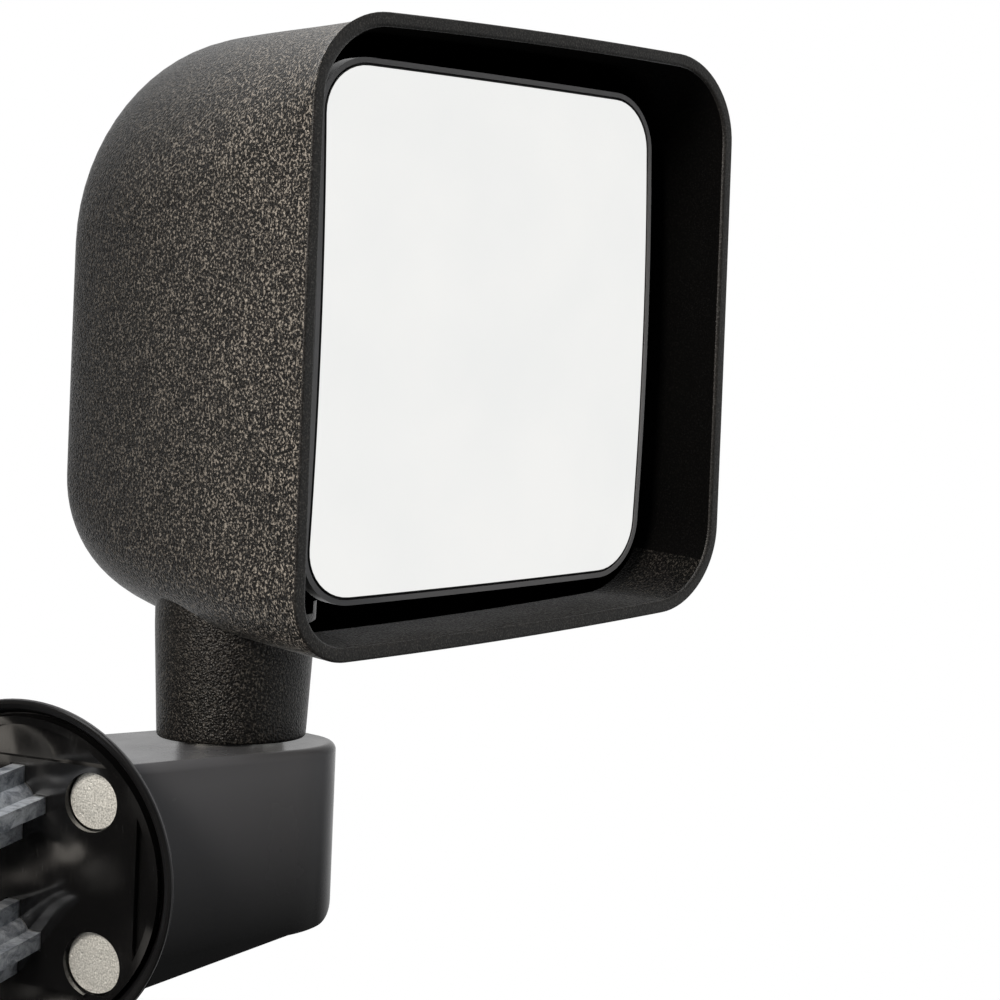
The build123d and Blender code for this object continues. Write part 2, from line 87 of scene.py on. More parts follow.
class Builder:
    "collects vertices and faces of one piece"

    def __init__(self):
        self.v, self.f = [], []

    def ring(self, pts):
        start = len(self.v)
        self.v.extend(np.asarray(pts, float).tolist())
        return list(range(start, len(self.v)))

    def bridge(self, a, b, closed=True):
        n = len(a)
        for i in range(n if closed else n - 1):
            j = (i + 1) % n
            self.f.append((a[i], a[j], b[j], b[i]))

    def cap(self, a, centre):
        c = len(self.v)
        self.v.append(list(map(float, centre)))
        for i in range(len(a)):
            self.f.append((a[i], a[(i + 1) % len(a)], c))

    def rings(self, seq, cap_start=None, cap_end=None):
        ids = [self.ring(p) for p in seq]
        for a, b in zip(ids, ids[1:]):
            self.bridge(a, b)
        if cap_start is not None:
            self.cap(ids[0], cap_start)
        if cap_end is not None:
            self.cap(ids[-1], cap_end)
        return ids


def apply_boolean(obj, other, op):
    m = obj.modifiers.new("b", "BOOLEAN")
    m.operation, m.solver, m.object = op, "EXACT", other
    dg = bpy.context.evaluated_depsgraph_get()
    me = bpy.data.meshes.new_from_object(obj.evaluated_get(dg))
    obj.modifiers.clear()
    old = obj.data
    obj.data = me
    bpy.data.meshes.remove(old)
    bpy.data.objects.remove(other)
    return obj


def shade(obj, deg=35):
    me = obj.data
    me.polygons.foreach_set("use_smooth", [True] * len(me.polygons))
    me.set_sharp_from_angle(angle=math.radians(deg))


# ------------------------------------------------------------------ material helpers
def mat(name):
    m = bpy.data.materials.new(name)
    m.use_nodes = True
    nt = m.node_tree
    nt.nodes.clear()
    out = nt.nodes.new("ShaderNodeOutputMaterial")
    p = nt.nodes.new("ShaderNodeBsdfPrincipled")
    nt.links.new(p.outputs[0], out.inputs[0])
    tc = nt.nodes.new("ShaderNodeTexCoord")
    return m, nt, p, tc.outputs["Object"]


def noise(nt, vec, scale, detail=3.0, rough=0.5, dist=0.0):
    n = nt.nodes.new("ShaderNodeTexNoise")
    n.inputs["Scale"].default_value = scale
    n.inputs["Detail"].default_value = detail
    n.inputs["Roughness"].default_value = rough
    n.inputs["Distortion"].default_value = dist
    nt.links.new(vec, n.inputs["Vector"])
    return n.outputs[0]


def voronoi(nt, vec, scale, feature="SMOOTH_F1", smooth=0.6, rand=1.0):
    n = nt.nodes.new("ShaderNodeTexVoronoi")
    n.feature = feature
    n.inputs["Scale"].default_value = scale
    n.inputs["Randomness"].default_value = rand
    if feature == "SMOOTH_F1":
        n.inputs["Smoothness"].default_value = smooth
    nt.links.new(vec, n.inputs["Vector"])
    return n.outputs["Distance"]


def ramp(nt, fac, stops):
    n = nt.nodes.new("ShaderNodeValToRGB")
    el = n.color_ramp.elements
    while len(el) < len(stops):
        el.new(0.5)
    for e, (pos, col) in zip(el, stops):
        e.position = pos
        e.color = (*col, 1) if len(col) == 3 else col
    nt.links.new(fac, n.inputs[0])
    return n.outputs[0]


def maprange(nt, fac, a, b, c, d):
    n = nt.nodes.new("ShaderNodeMapRange")
    n.inputs[1].default_value, n.inputs[2].default_value = a, b
    n.inputs[3].default_value, n.inputs[4].default_value = c, d
    nt.links.new(fac, n.inputs[0])
    return n.outputs[0]


def math_node(nt, op, a, b=None):
    n = nt.nodes.new("ShaderNodeMath")
    n.operation = op
    for i, x in enumerate((a, b)):
        if x is None:
            continue
        if isinstance(x, (int, float)):
            n.inputs[i].default_value = x
        else:
            nt.links.new(x, n.inputs[i])
    return n.outputs[0]


def bump(nt, height, dist, strength=1.0, normal=None):
    n = nt.nodes.new("ShaderNodeBump")
    n.inputs["Strength"].default_value = strength
    n.inputs["Distance"].default_value = dist
    nt.links.new(height, n.inputs["Height"])
    if normal is not None:
        nt.links.new(normal, n.inputs["Normal"])
    return n.outputs[0]


def mixcol(nt, fac, a, b):
    n = nt.nodes.new("ShaderNodeMix")
    n.data_type = "RGBA"
    if isinstance(fac, (int, float)):
        n.inputs[0].default_value = fac
    else:
        nt.links.new(fac, n.inputs[0])
    for i, x in ((6, a), (7, b)):
        if isinstance(x, tuple):
            n.inputs[i].default_value = (*x, 1)
        else:
            nt.links.new(x, n.inputs[i])
    return n.outputs[2]


def along(nt, co, direction, origin, a, b, c, d):
    "maps the distance along a direction (m, from origin) from a..b to c..d"
    sub = nt.nodes.new("ShaderNodeVectorMath")
    sub.operation = "SUBTRACT"
    nt.links.new(co, sub.inputs[0])
    sub.inputs[1].default_value = tuple(map(float, origin))
    dot = nt.nodes.new("ShaderNodeVectorMath")
    dot.operation = "DOT_PRODUCT"
    nt.links.new(sub.outputs[0], dot.inputs[0])
    dot.inputs[1].default_value = tuple(map(float, direction))
    return maprange(nt, dot.outputs["Value"], a, b, c, d)


def grain_material(name, cell, depth, base=(0.006, 0.0055, 0.005), light=(0.045, 0.040, 0.034), rough=(0.22, 0.42), spec=0.5, painted_speck_strength=0.35, painted_depth_light=None):
    """pebbled moulding grain: irregular raised cells, with paler cell tips and pale specks painted on as highlight
    glints
    """
    m, nt, p, co = mat(name)
    warp = nt.nodes.new("ShaderNodeVectorMath")
    warp.operation = "MULTIPLY_ADD"
    nz = nt.nodes.new("ShaderNodeTexNoise")
    nz.inputs["Scale"].default_value = 0.9 / cell
    nz.inputs["Detail"].default_value = 2
    nt.links.new(co, nz.inputs["Vector"])
    nt.links.new(nz.outputs["Color"], warp.inputs[0])
    warp.inputs[1].default_value = (cell * 0.7,) * 3
    nt.links.new(co, warp.inputs[2])
    cells = voronoi(nt, warp.outputs[0], 1 / cell, "SMOOTH_F1", 0.25)
    fine = noise(nt, co, 0.95 / cell, 2.5, 0.6)
    broad = noise(nt, co, 28, 3, 0.5)
    h = math_node(nt, "ADD", math_node(nt, "MULTIPLY", cells, -1.0), math_node(nt, "MULTIPLY", fine, 0.7))
    nt.links.new(bump(nt, h, depth, 1.0), p.inputs["Normal"])
    # painted highlight: the raised cell tips take the paler colour, as light catching them
    painted_tip_light = math_node(nt, "MULTIPLY", maprange(nt, cells, 0.10, 0.55, 1.0, 0.0), maprange(nt, fine, 0.44, 0.62, 0.0, 1.0))
    col = mixcol(nt, painted_tip_light, base, light)
    # painted highlight: pale specks mixed into the colour stand in for glints off the grain
    painted_speck_mask = math_node(nt, "MULTIPLY", maprange(nt, fine, 0.52, 0.66, 0.0, painted_speck_strength), maprange(nt, broad, 0.3, 0.7, 0.7, 1.0))
    if painted_depth_light is not None:
        # painted light and shade: the grain's colour and its painted specks are lighter towards the rim and darker
        # towards the back
        k = along(nt, co, V, C * MM, 0.0, 0.15, *painted_depth_light)
        painted_speck_mask = math_node(nt, "MULTIPLY", painted_speck_mask, k)
        col = mixcol(nt, k, tuple(x * 0.3 for x in base), col)
    # the pale colour here is the painted glint colour
    nt.links.new(mixcol(nt, painted_speck_mask, col, (0.22, 0.20, 0.175)), p.inputs["Base Color"])
    r = math_node(nt, "ADD", maprange(nt, cells, 0.0, 0.8, rough[0], rough[1]), maprange(nt, broad, 0.3, 0.7, -0.03, 0.03))
    nt.links.new(r, p.inputs["Roughness"])
    p.inputs["Specular IOR Level"].default_value = spec
    return m


def satin_material(name, base=(0.0035, 0.0036, 0.0040), rough=0.31, speck=0.00004, scale=900, spec=0.2, painted_light_by_height=None):
    m, nt, p, co = mat(name)
    p.inputs["Specular IOR Level"].default_value = spec
    fine = noise(nt, co, scale, 3, 0.6)
    broad = noise(nt, co, 35, 4, 0.55)
    col = mixcol(nt, maprange(nt, broad, 0.3, 0.7, 0.0, 1.0), base, tuple(x * 1.35 for x in base))
    # painted light and shade: the colour is darker towards the bottom and lighter towards the top
    if painted_light_by_height is not None:
        col = mixcol(nt, along(nt, co, (0, 0, 1), (0, 0, 0), -0.030, 0.026, 0.0, 1.0), tuple(x * 0.4 for x in base), painted_light_by_height)
    nt.links.new(col, p.inputs["Base Color"])
    nt.links.new(maprange(nt, broad, 0.25, 0.75, rough - 0.05, rough + 0.07), p.inputs["Roughness"])
    nt.links.new(bump(nt, fine, speck, 0.8), p.inputs["Normal"])
    return m


def gloss_material(name):
    m, nt, p, co = mat(name)
    broad = noise(nt, co, 60, 4, 0.6)
    scuff = nt.nodes.new("ShaderNodeMapping")
    scuff.inputs["Scale"].default_value = (1.0, 6.0, 0.7)
    scuff.inputs["Rotation"].default_value = (0.5, 0.0, 0.0)
    nt.links.new(co, scuff.inputs[0])
    streak = noise(nt, scuff.outputs[0], 260, 4, 0.7)
    dust = noise(nt, co, 2600, 2, 0.5)
    d = maprange(nt, dust, 0.72, 0.80, 0.0, 1.0)
    col = mixcol(nt, d, (0.003, 0.003, 0.0031), (0.05, 0.045, 0.04))
    nt.links.new(col, p.inputs["Base Color"])
    r = math_node(nt, "ADD", maprange(nt, broad, 0.3, 0.7, 0.10, 0.20), maprange(nt, streak, 0.55, 0.75, 0.0, 0.15))
    nt.links.new(r, p.inputs["Roughness"])
    swell = noise(nt, co, 30, 0.0, 0.3, 0.25)
    nt.links.new(bump(nt, streak, 0.00001, 0.5, bump(nt, swell, 0.0075, 1.0)), p.inputs["Normal"])
    return m


def casting_material(name, base=(0.30, 0.31, 0.325), light=(0.55, 0.56, 0.57), metallic=0.85, scale=420):
    m, nt, p, co = mat(name)
    flow = nt.nodes.new("ShaderNodeMapping")
    flow.inputs["Scale"].default_value = (1.0, 0.45, 1.6)
    nt.links.new(co, flow.inputs[0])
    a = noise(nt, flow.outputs[0], 160, 6, 0.72, 0.6)
    b = noise(nt, co, scale * 4, 3, 0.6)
    pit = voronoi(nt, co, scale, "F1")
    pits = maprange(nt, pit, 0.0, 0.22, 1.0, 0.0)
    col = mixcol(nt, maprange(nt, a, 0.38, 0.62, 0.0, 1.0), base, light)
    col = mixcol(nt, math_node(nt, "MULTIPLY", pits, 0.6), col, tuple(x * 0.4 for x in base))
    pale = mixcol(nt, maprange(nt, b, 0.35, 0.65, 0.0, 1.0), (0.42, 0.425, 0.405), (0.78, 0.78, 0.745))
    col = mixcol(nt, along(nt, co, (1, 0, 0), (0, 0, 0), 0.0030, 0.0042, 0.0, 1.0), col, pale)
    nt.links.new(col, p.inputs["Base Color"])
    p.inputs["Metallic"].default_value = metallic
    nt.links.new(maprange(nt, b, 0.3, 0.7, 0.42, 0.62), p.inputs["Roughness"])
    h = math_node(nt, "ADD", math_node(nt, "MULTIPLY", a, 1.0), math_node(nt, "ADD", math_node(nt, "MULTIPLY", b, 0.25), math_node(nt, "MULTIPLY", pits, -0.5)))
    nt.links.new(bump(nt, h, 0.00022, 0.9), p.inputs["Normal"])
    return m


def metal_material(name, col=(0.55, 0.55, 0.53), rough=0.32):
    m, nt, p, co = mat(name)
    turn = nt.nodes.new("ShaderNodeMapping")
    turn.inputs["Scale"].default_value = (1, 1, 14)
    nt.links.new(co, turn.inputs[0])
    a = noise(nt, turn.outputs[0], 500, 3, 0.6)
    b = noise(nt, co, 120, 4, 0.6)
    nt.links.new(mixcol(nt, maprange(nt, b, 0.35, 0.65, 0.0, 1.0), col, tuple(x * 0.72 for x in col)), p.inputs["Base Color"])
    p.inputs["Metallic"].default_value = 1.0
    nt.links.new(maprange(nt, a, 0.3, 0.7, rough - 0.08, rough + 0.12), p.inputs["Roughness"])
    nt.links.new(bump(nt, a, 0.00002, 0.6), p.inputs["Normal"])
    return m


M = {
    # the housing grain carries painted glints and painted light that fades from the rim to the back
    "housing_grain": grain_material("housing_grain_mat", 0.00095, 0.00045, (0.004, 0.0037, 0.0034), (0.040, 0.036, 0.031), (0.24, 0.44), 0.26, 1.0, (1.4, 0.05)),
    # painted shade: the neck under the housing takes a darker copy of the housing grain, with weaker painted specks
    "neck_grain": grain_material("neck_grain_painted_shade_mat", 0.0008, 0.00030, (0.0022, 0.0021, 0.0020), (0.012, 0.0112, 0.010), (0.26, 0.46), 0.22, 0.22),
    # painted shade: the recess's inner wall takes a near-black copy of the grain with no specular
    "rim_grain": grain_material("rim_grain_painted_shade_mat", 0.0007, 0.0001, (0.0022, 0.0022, 0.0022), (0.005, 0.005, 0.005), (0.55, 0.7), 0.0, 0.006),
    "land_grain": grain_material("land_grain_mat", 0.0007, 0.00012, (0.006, 0.0058, 0.0056), (0.024, 0.0235, 0.023), (0.38, 0.54), 0.28, 0.10),
    # painted shade: the upward-facing sill in the recess takes a darker copy of the grain
    "sill_grain": grain_material("sill_grain_painted_shade_mat", 0.0009, 0.00035, (0.0012, 0.0011, 0.0010), (0.006, 0.0055, 0.005), (0.4, 0.6), 0.03, 0.16),
    # the arm's satin is painted lighter towards the top and darker towards the bottom, as painted light and shade
    "arm_satin": satin_material("arm_satin_mat", (0.0030, 0.0031, 0.0038), 0.24, 0.00003, 900, 0.08, (0.056, 0.0565, 0.060)),
    "gloss_black": gloss_material("gloss_black_mat"),
    "raw_casting": casting_material("raw_casting_mat", (0.16, 0.175, 0.20), (0.50, 0.53, 0.57), 0.75),
    "pad_casting": casting_material("pad_casting_mat", (0.48, 0.485, 0.46), (0.78, 0.78, 0.75), 0.55, 700),
    "black_rubber": satin_material("black_rubber_mat", (0.004, 0.004, 0.0043), 0.30, 0.00002, 1600, 0.15),
    "zinc_steel": metal_material("zinc_steel_mat"),
    "spring_steel": metal_material("spring_steel_mat", (0.22, 0.22, 0.24), 0.30),
    "bearing_plastic": satin_material("bearing_plastic_mat", (0.62, 0.60, 0.54), 0.42, 0.00002, 900),
    "holder_black": satin_material("holder_black_mat", (0.016, 0.016, 0.017), 0.42, 0.00003, 1400),
    # painted highlight: a paler copy of the black holder plastic, as light on the holder's rim round the glass
    "holder_bezel": satin_material("holder_bezel_mat", (0.095, 0.095, 0.098), 0.40, 0.00003, 1400, 0.3),
    "foam_pad": satin_material("foam_pad_mat", (0.03, 0.03, 0.03), 0.8, 0.0001, 1500),
}

# mirror: silvered face
m, nt, p, co = mat("mirror_glass_mat")
smudge = noise(nt, co, 22, 3, 0.5)
nt.links.new(mixcol(nt, maprange(nt, smudge, 0.3, 0.7, 0.0, 1.0), (0.86, 0.865, 0.865), (0.89, 0.89, 0.885)), p.inputs["Base Color"])
p.inputs["Metallic"].default_value = 1.0
nt.links.new(maprange(nt, smudge, 0.3, 0.7, 0.015, 0.05), p.inputs["Roughness"])
M["mirror_glass"] = m
m, nt, p, co = mat("glass_edge_mat")
nt.links.new(mixcol(nt, maprange(nt, noise(nt, co, 900, 2, 0.5), 0.3, 0.7, 0, 1), (0.004, 0.005, 0.005), (0.012, 0.016, 0.015)), p.inputs["Base Color"])
p.inputs["Roughness"].default_value = 0.35
M["glass_edge"] = m

slots = {s["node"]: s["material_slot"] for s in frame["record"]["subparts"]} if "subparts" in frame["record"] else {}
for n, o in nodes.items():
    o.data.materials.clear()
    # the glass holder takes the paler copy, a painted highlight on its rim
    o.data.materials.append(M["holder_bezel" if n == "glass_holder" else slots.get(n, "arm_satin")])


# ------------------------------------------------------------------ housing
def g(t, q):
    return 1 - (1 - min(t, 1.0) ** q) ** (1 / q)


def outer_size(t):
    y = HEAD_D * t
    return dict(
        xi=RIM_W / 2 + 0.0446 * y - 15.1 * g(t, 4.37),
        xo=RIM_W / 2 - 0.05 * y - 42 * g(t, 3.0),
        zt=RIM_H / 2 - 0.25 + 0.035 * y - 6.75 * g(t, 5.97),
        zb=RIM_H / 2 + 0.0262 * y - 19.3 * g(t, 3.32),
        rti=28 + 56 * t ** 0.54, rbi=22.6 + 20.9 * t, rto=33 + 22 * t, rbo=31 + 18 * t)


NC, NS = 18, 26


def outline(s, inset=0.0, bow=RIM_BOW):
    "closed outline of one slice, in head (x, z); equal point counts for every slice"
    xi, xo, zt, zb = s["xi"] - inset, s["xo"] - inset, s["zt"] - inset, s["zb"] - inset
    r = {k: max(s[k] - inset, 0.5) for k in ("rti", "rbi", "rto", "rbo")}
    pts = []

    def corner(cx, cz, rad, a0):
        for i in range(NC):
            a = math.radians(a0 + 90 * i / NC)
            pts.append((cx + rad * math.cos(a), cz + rad * math.sin(a)))

    def side(p0, p1):
        for i in range(NS):
            k = i / NS
            pts.append((p0[0] + (p1[0] - p0[0]) * k, p0[1] + (p1[1] - p0[1]) * k))
    # counter-clockwise from the outboard side
    side((xo, -zb + r["rbo"]), (xo, zt - r["rto"]))
    corner(xo - r["rto"], zt - r["rto"], r["rto"], 0)
    side((xo - r["rto"], zt), (-xi + r["rti"], zt))
    corner(-xi + r["rti"], zt - r["rti"], r["rti"], 90)
    side((-xi, zt - r["rti"]), (-xi, -zb + r["rbi"]))
    corner(-xi + r["rbi"], -zb + r["rbi"], r["rbi"], 180)
    side((-xi + r["rbi"], -zb), (xo - r["rbo"], -zb))
    corner(xo - r["rbo"], -zb + r["rbo"], r["rbo"], 270)
    p = np.array(pts)
    cx, hx = (xo - xi) / 2, (xo + xi) / 2
    cz, hz = (zt - zb) / 2, (zt + zb) / 2
    kx, kz = (p[:, 0] - cx) / hx, (p[:, 1] - cz) / hz
    p[:, 1] += bow * (1 - kx ** 2) * np.sign(kz) * np.abs(kz) ** 1.5
    p[:, 0] += 0.4 * (1 - kz ** 2) * np.sign(kx) * np.abs(kx) ** 1.5
    p[:, 1] += RIM_RISE * p[:, 0]
    return p


def slice3(y, p):
    return hp(np.column_stack([p[:, 0], np.full(len(p), y), p[:, 1]]))


def housing_piece():
    b = Builder()
    seq = []
    # inner back, then inner wall out to the rim
    wall_at = lambda t: 5.0 - 1.0 * min(t / 0.3, 1) + (1.5 * max(0, (t - 0.82) / 0.135))
    ts = list(np.linspace(0.955, 0.80, 9)) + list(np.linspace(0.77, 0.05, 20))
    inner_end = slice3(HEAD_D * 0.955, outline(outer_size(0.955), wall_at(0.955)))
    c0 = inner_end.mean(0)
    for k in (0.25, 0.5, 0.75):
        seq.append(c0 + (inner_end - c0) * k)
    for t in ts:
        seq.append(slice3(HEAD_D * t, outline(outer_size(t), wall_at(t))))
    ri, re = 1.5, 0.9
    for i in range(0, 7):
        a = math.radians(90 * i / 6)
        y = ri * (1 - math.sin(a))
        seq.append(slice3(y, outline(outer_size(y / HEAD_D), wall_at(0) - ri * (1 - math.cos(a)))))
    for i in range(0, 6):
        a = math.radians(90 * i / 5)
        y = re * (1 - math.cos(a))
        seq.append(slice3(y, outline(outer_size(y / HEAD_D), re * (1 - math.sin(a)))))
    for t in list(np.linspace(0.02, 0.62, 24)) + list(np.linspace(0.64, 0.90, 16)) + list(np.linspace(0.91, 0.985, 12)) + [0.99, 0.994, 0.997, 0.999, 1.0]:
        seq.append(slice3(HEAD_D * t, outline(outer_size(t))))
    last = seq[-1]
    c1 = last.mean(0)
    for k in (0.97, 0.9, 0.75, 0.5, 0.25):
        seq.append(c1 + (last - c1) * k)
    b.rings(seq, c0, c1)
    o = new_mesh("housing_shell", b.v, b.f)
    # neck and screw towers, as closed solids that are joined on
    b = Builder()
    n = 120
    ang = np.linspace(0, 2 * math.pi, n, endpoint=False)

    def circ(r, z):
        "ring about the leaning fold axis; z is measured along it, with 30 at the pivot point"
        return (PIVOT + (z - 30) * LEAN + r * (np.outer(np.cos(ang), SIDE1) + np.outer(np.sin(ang), SIDE2))) * MM

    def on_axis(z):
        return (PIVOT + (z - 30) * LEAN) * MM
    prof = [(26.3, 30.6), (26.7, 30.7), (27.1, 31.0), (27.35, 31.5), (27.45, 32.2)]
    for k in np.linspace(0.06, 1, 14):
        z = 32.2 + (94 - 32.2) * k
        prof.append((27.4 + 2.2 * min((z - 30.6) / 40, 1) + max(0, (z - 70.6)) * 0.02, z))
    seq = [circ(r, z) for r, z in prof]
    b.rings(seq, on_axis(30.6), on_axis(94))
    for w in (45, 135, 225, 315):
        cx, cz = 1.1 + 33 * math.cos(math.radians(w)), -0.8 + 33 * math.sin(math.radians(w))
        a2 = np.linspace(0, 2 * math.pi, 32, endpoint=False)

        def ring(r, y):
            return hp(np.column_stack([cx + r * np.cos(a2), np.full(32, y), cz + r * np.sin(a2)]))
        seq = [ring(6.0, 77.2), ring(6.5, 77.7)] + [ring(6.5 + 0.4 * k, 77.7 + 64 * k) for k in (0.3, 0.6, 0.9)] + [ring(8.5, 141.5), ring(8.8, 145)]
        b.rings(seq, hp((cx, 77.2, cz))[0], hp((cx, 145, cz))[0])
    add = new_mesh("add", b.v, b.f)
    apply_boolean(o, add, "UNION")
    b = Builder()
    seq = [circ(22.5, 20), circ(22.5, 45), circ(22.5, 70), circ(22.5, 94.5)]
    b.rings(seq, on_axis(20), on_axis(94.5))
    for w in (45, 135, 225, 315):
        cx, cz = 1.1 + 33 * math.cos(math.radians(w)), -0.8 + 33 * math.sin(math.radians(w))
        a2 = np.linspace(0, 2 * math.pi, 24, endpoint=False)

        def ring(r, y):
            return hp(np.column_stack([cx + r * np.cos(a2), np.full(24, y), cz + r * np.sin(a2)]))
        b.rings([ring(2.5, 70), ring(2.5, 95)], hp((cx, 70, cz))[0], hp((cx, 95, cz))[0])
    cut = new_mesh("cut", b.v, b.f)
    apply_boolean(o, cut, "DIFFERENCE")
    shade(o, 38)
    return o


housing = housing_piece()
housing.name = "housing_shell"
housing.data.materials.clear()
housing.data.materials.append(M["housing_grain"])
housing.data.materials.append(M["rim_grain"])
housing.data.materials.append(M["land_grain"])
housing.data.materials.append(M["sill_grain"])
housing.data.materials.append(M["neck_grain"])
# the rim's land and the inner wall take the finer grain; the inner wall's copy is near-black without specular, as
# painted shade in the recess
vert = np.array([v.co[:] for v in housing.data.vertices]) / MM - C
for poly in housing.data.polygons:
    c = np.mean([vert[i] for i in poly.vertices], axis=0)
    nrm = np.array(poly.normal[:])
    y = c @ V
    if y < 1.0 and nrm @ V < -0.35:
        poly.material_index = 2
    elif y < 144:
        x, z = c @ U, c[2]
        if z + C[2] > 72 and (nrm @ V < -0.7 or nrm @ np.array([*(-x * U[:2]), -z]) > 0):
            # painted shade: upward faces low in the recess take the darker sill copy, the rest the near-black inner
            # wall copy
            poly.material_index = 3 if nrm[2] > 0.5 and y < 34 else 1
    # painted shade: faces of the neck below the housing take the darker neck copy
    off = c + C - PIVOT
    off = off - LEAN * (off @ LEAN)
    if (poly.material_index == 0 or poly.material_index == 1 and c[2] + C[2] < 79 and nrm @ off >= 0) and np.linalg.norm(off) < 30.5 and (c[2] + C[2] < 70 or abs(nrm @ LEAN) < 0.5) and c[2] + C[2] < 92:
        poly.material_index = 4
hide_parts("housing")
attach(housing, "head")
housing.visible_glossy = False


# ------------------------------------------------------------------ glass
def rr_outline(w, h, r, nc=10, ns=16):
    pts = []
    for cx, cz, a0 in ((w / 2 - r, h / 2 - r, 0), (-w / 2 + r, h / 2 - r, 90), (-w / 2 + r, -h / 2 + r, 180), (w / 2 - r, -h / 2 + r, 270)):
        for i in range(nc):
            a = math.radians(a0 + 90 * i / nc)
            pts.append((cx + r * math.cos(a), cz + r * math.sin(a)))
        a = math.radians(a0 + 90)
        p0 = (cx + r * math.cos(a), cz + r * math.sin(a))
        if a0 == 0:
            p1 = (-w / 2 + r, h / 2)
        elif a0 == 90:
            p1 = (-w / 2, -h / 2 + r)
        elif a0 == 180:
            p1 = (w / 2 - r, -h / 2)
        else:
            p1 = (w / 2, h / 2 - r)
        for i in range(ns):
            k = i / ns
            pts.append((p0[0] + (p1[0] - p0[0]) * k, p0[1] + (p1[1] - p0[1]) * k))
    return np.array(pts)


GX, GZ, GY, GR = 1.1, -0.8, 21.7, 1500.0


def on_sphere(p, off):
    "points (x, z) about the glass's middle, on its sphere moved back by off"
    r = GR - off
    y = GY + GR - np.sqrt(r ** 2 - p[:, 0] ** 2 - p[:, 1] ** 2)
    return hp(np.column_stack([p[:, 0] + GX, y, p[:, 1] + GZ]))


def glass_piece():
    b = Builder()
    full = rr_outline(166, 190, 19)
    front = [on_sphere(full * k, 0.0) for k in (0.1, 0.25, 0.4, 0.55, 0.7, 0.82, 0.92, 0.975)]
    def shrink(d):
        return rr_outline(166 - 2 * d, 190 - 2 * d, 19 - d)
    seq = front + [on_sphere(shrink(0.45), 0.0), on_sphere(shrink(0.25), 0.04), on_sphere(shrink(0.08), 0.16), on_sphere(shrink(0.0), 0.4),
                   on_sphere(shrink(0.0), 1.2), on_sphere(shrink(0.0), 1.8), on_sphere(shrink(0.1), 2.05), on_sphere(shrink(0.4), 2.2)]
    seq += [on_sphere(full * k, 2.2) for k in (0.9, 0.6, 0.3)]
    b.rings(seq, on_sphere(np.zeros((1, 2)), 0)[0], on_sphere(np.zeros((1, 2)), 2.2)[0])
    o = new_mesh("mirror_glass_lens", b.v, b.f, sharp_deg=60)
    o.data.materials.append(M["mirror_glass"])
    o.data.materials.append(M["glass_edge"])
    for poly in o.data.polygons:
        nrm = np.array(poly.normal[:])
        if nrm @ V > -0.995:
            poly.material_index = 1
    return o


glass = glass_piece()
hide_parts("mirror_glass")
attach(glass, "glass")


# ------------------------------------------------------------------ floor, light, camera
def stage_floor():
    b = Builder()
    n = 96
    ang = np.linspace(0, 2 * math.pi, n, endpoint=False)
    seq = [np.column_stack([0.07 + r * np.cos(ang), -0.08 + r * np.sin(ang), np.full(n, z)]) for r, z in
           ((0.2, -0.345), (0.4, -0.345), (0.6, -0.345), (0.75, -0.345))]
    b.rings(seq, (0.07, -0.08, -0.345))
    o = new_mesh("floor", b.v, b.f)
    m, nt, p, co = mat("floor_mat")
    nt.links.new(mixcol(nt, maprange(nt, noise(nt, co, 3, 2, 0.5), 0.3, 0.7, 0, 1), (0.86, 0.86, 0.86), (0.88, 0.88, 0.88)), p.inputs["Base Color"])
    p.inputs["Roughness"].default_value = 0.7
    o.data.materials.append(m)
    for poly in o.data.polygons:
        if poly.normal.z < 0:
            poly.flip()
    return o


floor = stage_floor()
floor.visible_glossy = False

world = bpy.data.worlds.new("studio")
bpy.context.scene.world = world
world.use_nodes = True
wn = world.node_tree
wn.nodes.clear()
w_out = wn.nodes.new("ShaderNodeOutputWorld")
bg_cam = wn.nodes.new("ShaderNodeBackground")
bg_cam.inputs[0].default_value = (1, 1, 1, 1)
bg_cam.inputs[1].default_value = 1.0
bg_env = wn.nodes.new("ShaderNodeBackground")
lp = wn.nodes.new("ShaderNodeLightPath")
mixs = wn.nodes.new("ShaderNodeMixShader")
wn.links.new(lp.outputs["Is Camera Ray"], mixs.inputs[0])
wn.links.new(bg_env.outputs[0], mixs.inputs[1])
wn.links.new(bg_cam.outputs[0], mixs.inputs[2])
wn.links.new(mixs.outputs[0], w_out.inputs[0])
wtc = wn.nodes.new("ShaderNodeTexCoord")
D = wtc.outputs["Generated"]


def patch(direction, inner, outer):
    "1 inside a cone round a direction, 0 outside, smooth between (degrees)"
    n = wn.nodes.new("ShaderNodeVectorMath")
    n.operation = "DOT_PRODUCT"
    v = Vector(direction).normalized()
    n.inputs[1].default_value = v
    wn.links.new(D, n.inputs[0])
    r = wn.nodes.new("ShaderNodeMapRange")
    r.interpolation_type = "SMOOTHSTEP"
    r.inputs[1].default_value = math.cos(math.radians(outer))
    r.inputs[2].default_value = math.cos(math.radians(inner))
    wn.links.new(n.outputs["Value"], r.inputs[0])
    return r.outputs[0]


def scaled(fac, colour, strength):
    n = wn.nodes.new("ShaderNodeMix")
    n.data_type = "RGBA"
    wn.links.new(fac, n.inputs[0])
    n.inputs[6].default_value = (0, 0, 0, 1)
    n.inputs[7].default_value = (*[c * strength for c in colour], 1)
    return n.outputs[2]


def add_col(a, b):
    n = wn.nodes.new("ShaderNodeMix")
    n.data_type = "RGBA"
    n.blend_type = "ADD"
    n.inputs[0].default_value = 1.0
    n.clamp_result = False
    wn.links.new(a, n.inputs[6])
    wn.links.new(b, n.inputs[7])
    return n.outputs[2]


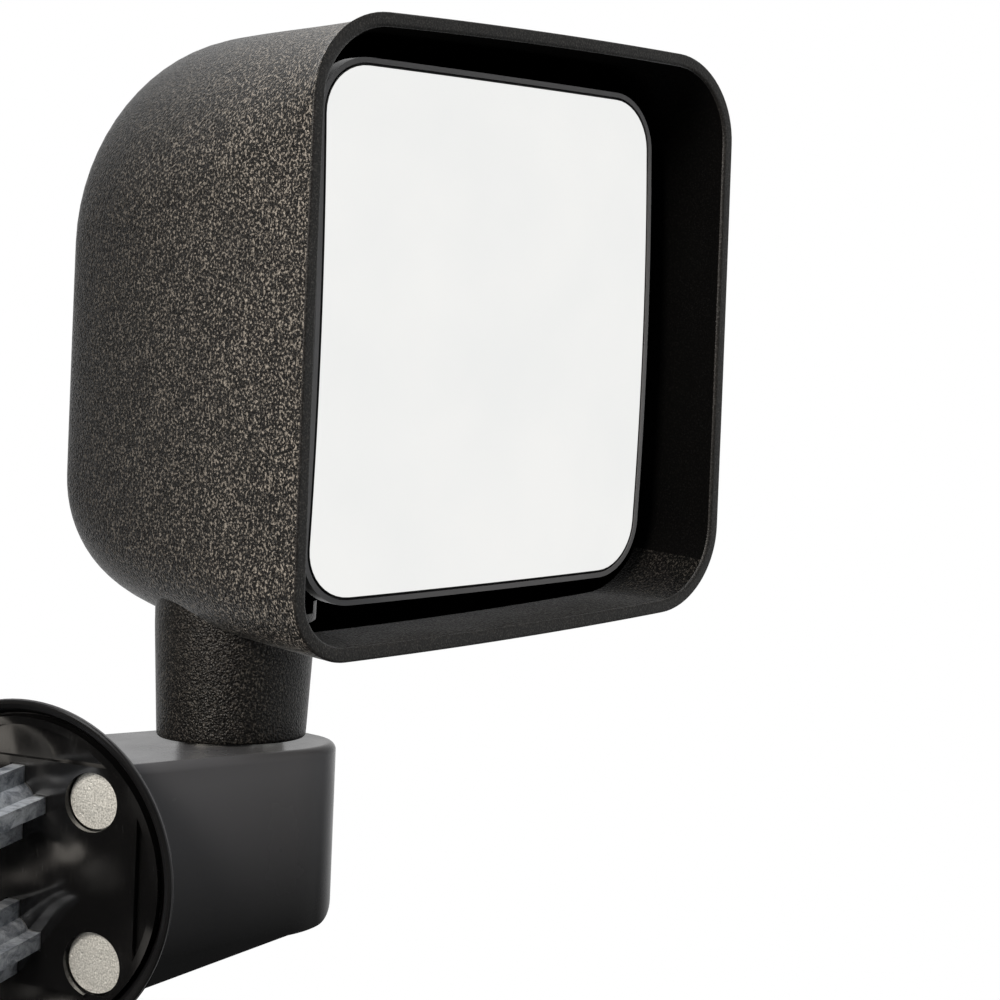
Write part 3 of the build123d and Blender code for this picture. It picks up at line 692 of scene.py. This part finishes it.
FWD = np.array([0.94147653, 0.33707853, 0.0])
RT = np.array([0.33707853, -0.94147653, 0.0])
env = scaled(patch((0.278, -0.959, 0.0), 26, 40), (1.0, 1.0, 0.988), 0.985)      # the pale wall the glass looks at
env = add_col(env, scaled(patch(FWD, 25, 75), (1.0, 1.0, 1.0), 0.95))              # pale background sweep
env = add_col(env, scaled(patch((0, 0, 1), 20, 70), (1.0, 1.0, 1.0), 0.25))       # ceiling
env = add_col(env, scaled(patch((-0.70, 0.66, 0.28), 7, 17), (1.0, 0.93, 0.84), 1.25))      # lamp seen in the base cover
env = add_col(env, scaled(patch((-0.86, 0.20, -0.10), 5, 14), (1.0, 0.95, 0.88), 0.9))
env = add_col(env, scaled(patch((-0.45, 0.85, -0.35), 6, 15), (1.0, 0.97, 0.93), 0.8))
base_c = wn.nodes.new("ShaderNodeRGB")
base_c.outputs[0].default_value = (0.014, 0.014, 0.015, 1)
env = add_col(env, base_c.outputs[0])
wn.links.new(env, bg_env.inputs[0])
bg_env.inputs[1].default_value = 1.0

TARGET = Vector((0.09, -0.09, 0.13))


def area(name, direction, dist, size, power, colour=(1, 1, 1), size_y=None):
    L = bpy.data.lights.new(name, "AREA")
    L.energy = power
    L.color = colour
    L.shape = "RECTANGLE"
    L.size = size
    L.size_y = size_y or size
    o = bpy.data.objects.new(name, L)
    bpy.context.scene.collection.objects.link(o)
    d = Vector(direction).normalized()
    o.location = TARGET + d * dist
    o.rotation_euler = (-d).to_track_quat("-Z", "Y").to_euler()
    return o


def around(left_deg, elev_deg):
    "direction from the object, left_deg to the left of the camera as seen in the picture, elev_deg up"
    a, e = math.radians(left_deg), math.radians(elev_deg)
    back = -FWD * math.cos(a) - RT * math.sin(a)
    return (back[0] * math.cos(e), back[1] * math.cos(e), math.sin(e))


area("key", around(30, 30), 1.3, 0.40, 22, (1.0, 0.93, 0.85))
area("overhead", around(20, 82), 1.1, 0.6, 11, (1.0, 1.0, 1.0))
area("left", around(58, 4), 1.3, 0.55, 2.2, (1.0, 0.93, 0.84))
side = area("right", around(-60, 10), 1.6, 0.8, 1.5, (0.95, 0.97, 1.0))
side.visible_glossy = False

cam = bpy.data.cameras.new("camera")
cam.sensor_width = 36
cam.lens = 1876.965 * 36 / 1000
cam.shift_x = 0.0
cam.shift_y = -(500 - 285.28) / 1000
cam.clip_start = 0.01
camo = bpy.data.objects.new("camera", cam)
bpy.context.scene.collection.objects.link(camo)
rho = 0.0389
X = RT * math.cos(rho) + W * math.sin(rho)
Y = W * math.cos(rho) - RT * math.sin(rho)
Z = -FWD
mw = Matrix(((X[0], Y[0], Z[0], -0.534635), (X[1], Y[1], Z[1], -0.356554), (X[2], Y[2], Z[2], 0.200826), (0, 0, 0, 1)))
camo.matrix_world = mw
bpy.context.scene.camera = camo

scene = bpy.context.scene
scene.view_settings.view_transform = "Standard"
scene.view_settings.look = "None"
